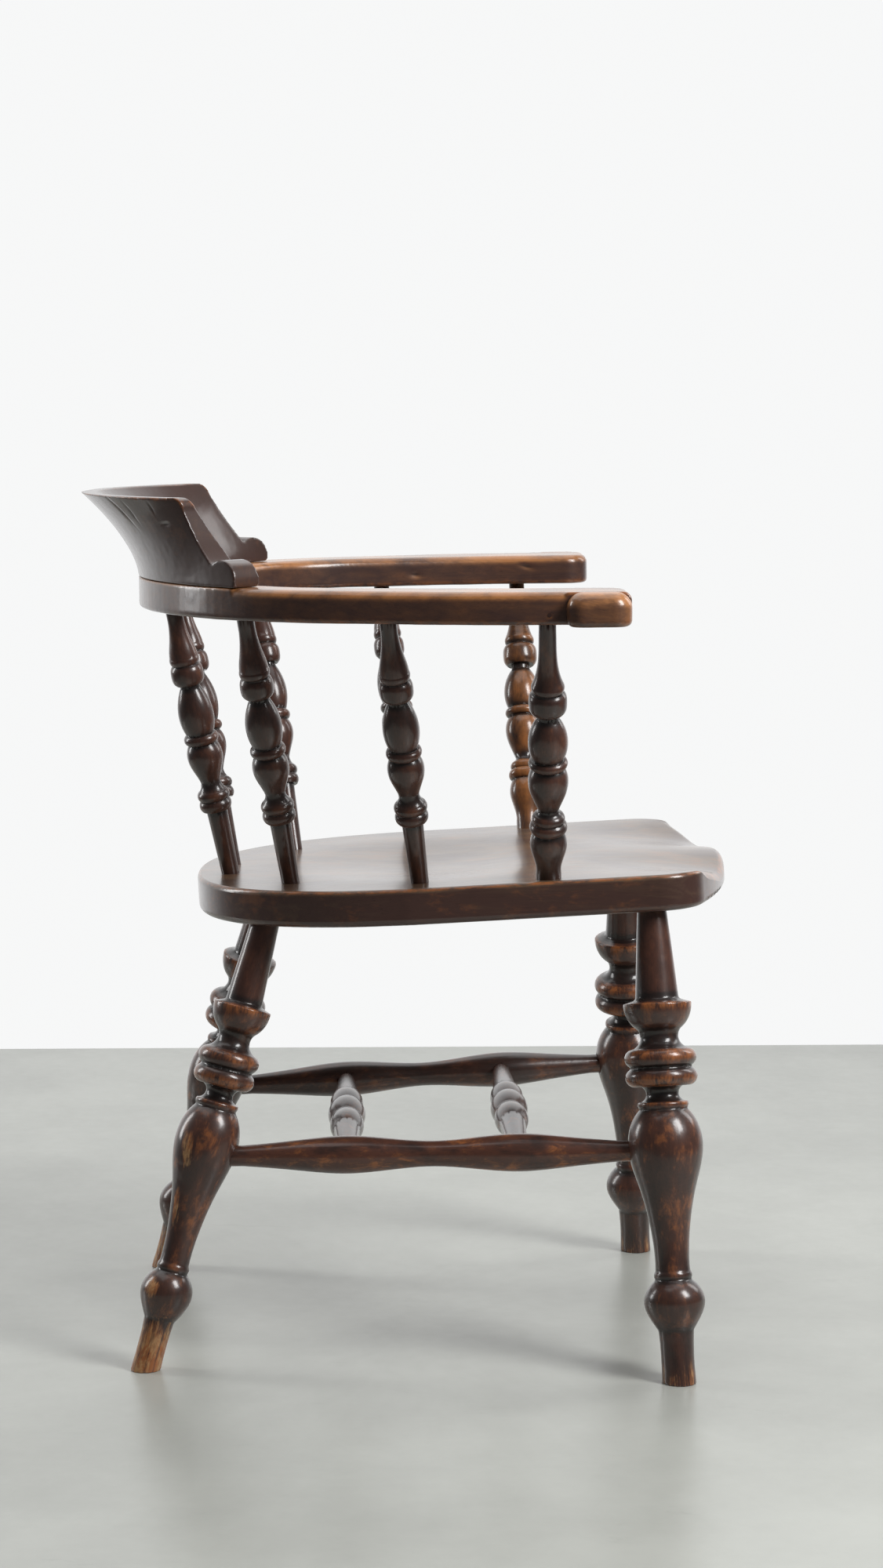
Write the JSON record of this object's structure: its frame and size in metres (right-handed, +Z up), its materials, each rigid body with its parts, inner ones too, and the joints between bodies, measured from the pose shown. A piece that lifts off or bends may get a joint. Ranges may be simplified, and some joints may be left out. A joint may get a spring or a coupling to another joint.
{
  "type": "captain's chair",
  "caption": "Turned wooden captain's chair with a low bow back, flared crest rail, broad curved arms, a dished seat and raked turned legs joined by stretchers.",
  "frame": {"origin": "on the floor under the middle of the overall width and depth", "axes": "+Z up, the sitter faces -Y, +X is the sitter's left, and X = 0 is the mirror plane"},
  "size_m": [0.68, 0.6068, 0.7939],
  "materials": {
    "leg_wood": "dark stain, polished, worn on the rims and rings",
    "stretcher_wood": "dark stain, worn mottled brown on the bulges",
    "spindle_wood": "dark stain, glossy polish",
    "arm_wood": "dark stain, worn golden brown on top",
    "hand_block_wood": "worn golden brown with dark grain",
    "seat_wood": "dark stain, satin polish with grain from front to back",
    "crest_wood": "very dark stain, glossy polish with a worn top edge",
    "pin_wood": "dark stained hardwood"
  },
  "bodies": {
    "root": {"arm_pins": "pin_wood", "back_cross_stretcher": "stretcher_wood", "back_left_leg": "leg_wood", "back_right_leg": "leg_wood", "crest_dowels": "pin_wood", "crest_rail": "crest_wood", "front_cross_stretcher": "stretcher_wood", "front_left_leg": "leg_wood", "front_right_leg": "leg_wood", "left_arm": "arm_wood", "left_back_spindle": "spindle_wood", "left_bend_spindle": "spindle_wood", "left_front_spindle": "spindle_wood", "left_hand_block": "hand_block_wood", "left_side_spindle": "spindle_wood", "left_side_stretcher": "stretcher_wood", "right_arm": "arm_wood", "right_back_spindle": "spindle_wood", "right_bend_spindle": "spindle_wood", "right_front_spindle": "spindle_wood", "right_hand_block": "hand_block_wood", "right_side_spindle": "spindle_wood", "right_side_stretcher": "stretcher_wood", "seat": "seat_wood"}
  },
  "joints": []
}
